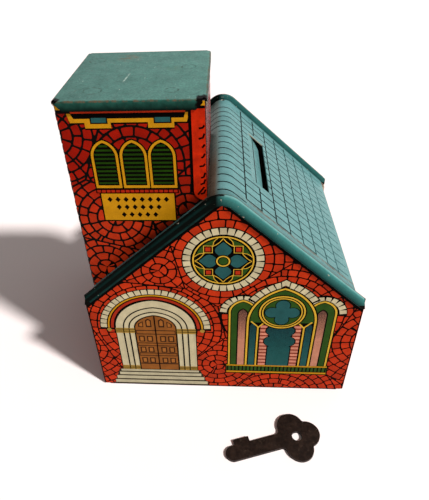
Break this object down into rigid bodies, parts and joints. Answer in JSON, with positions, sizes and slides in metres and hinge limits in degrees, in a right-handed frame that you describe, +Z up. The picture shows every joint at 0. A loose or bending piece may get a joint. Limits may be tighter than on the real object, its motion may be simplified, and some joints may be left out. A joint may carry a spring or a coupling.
{
  "type": "church-shaped coin bank",
  "caption": "Tinplate coin bank shaped like a church, with a coin slot in the roof, a square capped tower, a locked trap door in the base and a flat trefoil key.",
  "frame": {"origin": "on the table, in the middle of the rectangle that the bank and the key in front of it cover", "axes": "+X to the right of the front gable, +Y from the front to the back, +Z up"},
  "size_m": [0.0826, 0.0966, 0.1005],
  "materials": {
    "roof_print": "gloss",
    "stone_print": "gloss",
    "cap_paint": "gloss",
    "bare_tin": "satin",
    "steel_wire": "satin",
    "dark_steel": "satin"
  },
  "bodies": {
    "house": {"roof_and_sides": "roof_print", "front_gable": "stone_print", "back_gable": "stone_print", "tower_wall": "stone_print", "tower_cap": "cap_paint", "base_plate": "bare_tin", "hinge_pin": "steel_wire"},
    "door": {"coin_door": "bare_tin", "lock_case": "bare_tin", "lock_rivets": "steel_wire", "bolt_spring": "steel_wire"},
    "bolt": {"lock_bolt": "steel_wire"},
    "key": {"key": "dark_steel"}
  },
  "joints": [
    {"name": "door_hinge", "type": "hinge", "parent": "house", "child": "door", "pos_m": [0, 0.0299, 0.00295], "axis": [1, 0, 0], "range_deg": [0, 150]},
    {"name": "bolt_slide", "type": "slide", "parent": "door", "child": "bolt", "axis": [0, -1, 0], "range_m": [0, 0.003]},
    {"name": "key_lift", "type": "slide", "parent": "house", "child": "key", "axis": [0, 0, 1], "range_m": [0, 0.05]}
  ]
}
